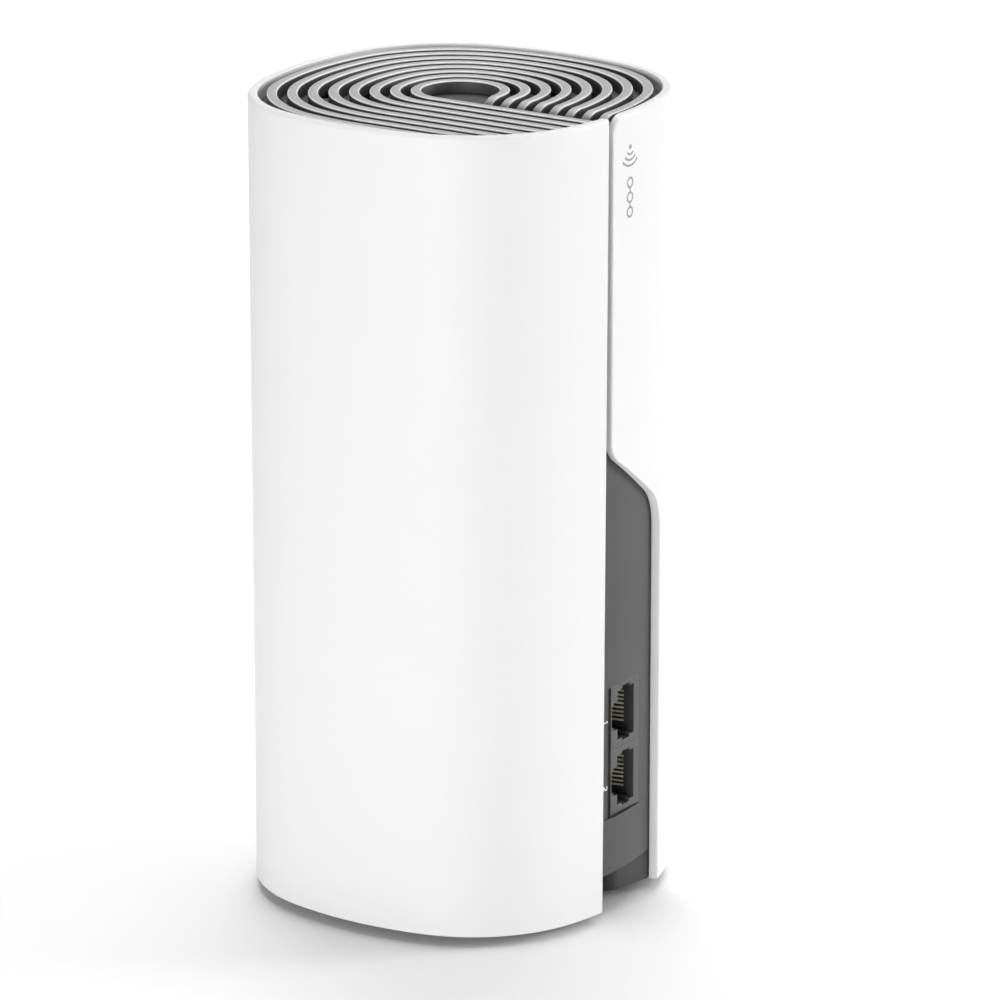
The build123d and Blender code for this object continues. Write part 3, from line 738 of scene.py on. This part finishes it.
# ---------------------------------------------------------------- printed marks
def add_ribbon(bm, line, width, front, back, closed=False):
    """A thin closed band along a line of (along, height) points."""
    count = len(line)
    rings = []
    for number, point in enumerate(line):
        here = Vector(point)
        before = Vector(line[number - 1]) if closed or number > 0 else here
        after = Vector(line[(number + 1) % count]) if closed or number < count - 1 else here
        coming = (here - before).normalized() if before != here else (after - here).normalized()
        going = (after - here).normalized() if after != here else coming
        ahead = (coming + going).normalized()
        side = Vector((-ahead.y, ahead.x)) * (width / 2 / max(0.5, ahead.dot(going)))
        one, other = here + side, here - side
        corners = ((one, front), (other, front), (other, back), (one, back))
        rings.append([bm.verts.new((place.x, depth, place.y)) for place, depth in corners])
    following = rings[1:] + rings[:1] if closed else rings[1:]
    for near, far in zip(rings, following):
        for number in range(4):
            after = (number + 1) % 4
            bm.faces.new((near[number], near[after], far[after], far[number]))
    if not closed:
        bm.faces.new(rings[0])
        bm.faces.new(rings[-1])


def arc_line(middle, radius, begin, end, steps=20):
    """Points of an arc in the flat plan, angles in degrees."""
    points = []
    for number in range(steps + 1):
        angle = math.radians(begin + (end - begin) * number / steps)
        points.append((middle[0] + radius * math.cos(angle), middle[1] + radius * math.sin(angle)))
    return points


def ring_line(middle, radius, count):
    """Evenly spaced points of a full circle, for a closed ribbon."""
    return arc_line(middle, radius, 0, 360 - 360 / count, count - 1)


def finish_print(name, bm, material):
    """Roll a flat print onto the outline."""
    bmesh.ops.recalc_face_normals(bm, faces=bm.faces)
    marks = link_mesh(name, bm)
    roll(marks, print_step)
    dress(marks, material)


def make_port_numbers():
    """White 1 and 2 beside the ports, lying on their sides with the heads towards the ports."""
    front = panel_front + strip_depth - number_rise
    back = front + number_thickness
    foot = rear_along(number_foot)
    # Strokes as points across and up, in shares of the number's height.
    one = [(-0.25, 0.72), (0.0, 1.0), (0.0, 0.0)]
    two = [(-0.27, 0.74), (-0.2, 0.92), (0.0, 1.0), (0.2, 0.92), (0.27, 0.72)]
    two += [(0.2, 0.5), (-0.3, 0.0), (0.32, 0.0)]
    for number, (strokes, place) in enumerate(zip((one, two), number_places), start=1):
        bm = bmesh.new()
        line = []
        for across, up in strokes:
            line.append((foot + up * number_height, place - across * number_height))
        add_ribbon(bm, line, number_stroke, front, back)
        finish_print(f"port_number_{number}", bm, print_white)


make_port_numbers()


def make_emblem():
    """Plain print near the slot: a dot, three arcs and a chain of three small rings."""
    depths = (emblem_front, emblem_back)
    along = rear_along(emblem_place)
    bm = bmesh.new()
    fan = (along, fan_height)
    add_ribbon(bm, ring_line(fan, dot_radius, 20), dot_stroke, *depths, closed=True)
    for radius in fan_radii:
        add_ribbon(bm, arc_line(fan, radius, 225, 315), emblem_stroke, *depths)
    for height in ring_heights:
        ring = ring_line((along, height), ring_radius, 36)
        add_ribbon(bm, ring, emblem_stroke, *depths, closed=True)
    for height in link_heights:
        link = [(along, height + link_reach), (along, height - link_reach)]
        add_ribbon(bm, link, emblem_stroke, *depths)
    finish_print("emblem", bm, print_grey)


make_emblem()


# ---------------------------------------------------------------- CAD nodes that stay
cad_looks = {
    "top_cap": cavity_dark,
    "chassis": cavity_dark,
    "base_cover": panel_grey,
    "rubber_feet": rubber,
    "base_label": label_blank,
    "base_screws": screw_steel,
    "main_board": board_green,
    "ethernet_jack_1": port_grey,
    "ethernet_jack_2": port_grey,
    "jack_1_contacts": contact_gold,
    "jack_2_contacts": contact_gold,
    "lan_transformer_1": chip_black,
    "lan_transformer_2": chip_black,
    "power_socket": chip_black,
    "power_socket_pin": contact_gold,
    "power_socket_spring": contact_gold,
    "reset_button": port_grey,
    "reset_plunger": port_grey,
    "reset_switch": chip_black,
    "status_light_guide": clear,
    "status_led": lamp_white,
    "shield_processor": shield_tin,
    "shield_radio_low_band": shield_tin,
    "shield_radio_high_band": shield_tin,
    "thermal_pad_processor": pad_blue,
    "thermal_pad_radio_low_band": pad_blue,
    "thermal_pad_radio_high_band": pad_blue,
    "processor_chip": chip_black,
    "memory_chip": chip_black,
    "flash_chip": chip_black,
    "radio_chip_low_band": chip_black,
    "radio_chip_high_band": chip_black,
    "capacitors": aluminium,
    "power_inductor": chip_black,
    "heat_spreader_port_side": aluminium,
    "heat_spreader_plain_side": aluminium,
    "spreader_screws": screw_steel,
    "board_screws": screw_steel,
    "antenna_left": board_green,
    "antenna_right": board_green,
    "antenna_lead_left": lead_grey,
    "antenna_lead_right": lead_grey,
    "antenna_connector_left": contact_gold,
    "antenna_connector_right": contact_gold,
}
# Edge radii in millimetres.
usual_edge_radius = 0.08
edge_radii = {
    "base_cover": 0.25,
    "ethernet_jack_1": 0.12,
    "ethernet_jack_2": 0.12,
    "rubber_feet": 0.0,
}


def dress_cad_node(name, material):
    """Give a CAD node its material and softened edges."""
    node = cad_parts[name]
    node.data.materials.clear()
    node.data.materials.append(material)
    weld = node.modifiers.new("weld", "WELD")
    weld.merge_threshold = 0.002 * MM
    bevel = node.modifiers.new("edges", "BEVEL")
    bevel.width = edge_radii.get(name, usual_edge_radius) * MM
    bevel.segments = 2
    bevel.limit_method = "ANGLE"
    bevel.angle_limit = math.radians(35)


for name, material in cad_looks.items():
    dress_cad_node(name, material)


# ---------------------------------------------------------------- stage, light and camera
centre = (cad_low + cad_high) / 2
floor_reach = 4.0
world_strength = 0.05

# The camera looks at the corner between the plain +X side and the rear. Angles are in degrees.
view_azimuth = 33.55
view_elevation = 16.87
view_distance = 1.4135
aim_right = 9.0 * MM
aim_below_rim = 93.5 * MM
sensor_width = 36.0
focal_length = 224.4

floor_white = moulded(
    "floor_white", (0.98, 0.98, 0.98), 0.9, grain_scale=50.0, grain=0.0, spread=0.0
)


def direction(azimuth, elevation):
    """Unit vector towards an azimuth and an elevation in degrees."""
    turn, rise = math.radians(azimuth), math.radians(elevation)
    flat = math.cos(rise)
    return Vector((math.cos(turn) * flat, math.sin(turn) * flat, math.sin(rise)))


def make_floor():
    """Plain pale floor."""
    bm = bmesh.new()
    bmesh.ops.create_grid(bm, x_segments=1, y_segments=1, size=floor_reach)
    floor = link_mesh("floor", bm)
    floor.location = (0, 0, cad_low.z)
    floor.data.materials.append(floor_white)


make_floor()


def soft_box(name, azimuth, elevation, side, power, behind=0.0, distance=2.5, spread=180):
    """A square light aimed at the unit, or at a place behind it as the camera sees it."""
    light = bpy.data.lights.new(name, "AREA")
    light.shape = "RECTANGLE"
    light.size = side
    light.size_y = side
    light.energy = power
    light.spread = math.radians(spread)
    lamp = bpy.data.objects.new(name, light)
    bpy.context.collection.objects.link(lamp)
    away = direction(azimuth, elevation)
    target = centre - direction(view_azimuth, 0) * behind
    lamp.location = target + away * distance
    lamp.rotation_euler = away.to_track_quat("Z", "Y").to_euler()


# Each light's azimuth, elevation, side in metres and power in watts.
soft_box("left_box", 8, 10, 0.8, 38.0)
soft_box("right_box", 135, 11, 0.8, 35.0)
soft_box("high_box", 120, 50, 2.4, 16.0)
soft_box("back_box", 213.5, 70, 1.2, 5.0, behind=0.5, distance=1.2, spread=80)
soft_box("top_box", 0, 89.9, 1.5, 16.0)


def make_world():
    """A faint even white round the stage."""
    world = bpy.data.worlds.new("studio")
    bpy.context.scene.world = world
    world.use_nodes = True
    background = world.node_tree.nodes["Background"]
    background.inputs["Color"].default_value = (1, 1, 1, 1)
    background.inputs["Strength"].default_value = world_strength
    bpy.context.scene.view_settings.view_transform = "Standard"


make_world()


def make_camera():
    """A long lens, a little above the unit, aimed just to the right of its middle."""
    look = -direction(view_azimuth, view_elevation)
    right = look.cross(Vector((0, 0, 1))).normalized()
    up = right.cross(look)
    rim_centre = Vector((centre.x, centre.y, cad_high.z))
    aim = rim_centre + right * aim_right - up * aim_below_rim
    data = bpy.data.cameras.new("camera")
    data.sensor_width = sensor_width
    data.lens = focal_length
    data.clip_end = 100.0
    camera = bpy.data.objects.new("camera", data)
    bpy.context.collection.objects.link(camera)
    camera.location = aim - look * view_distance
    camera.rotation_euler = look.to_track_quat("-Z", "Y").to_euler()
    bpy.context.scene.camera = camera


make_camera()
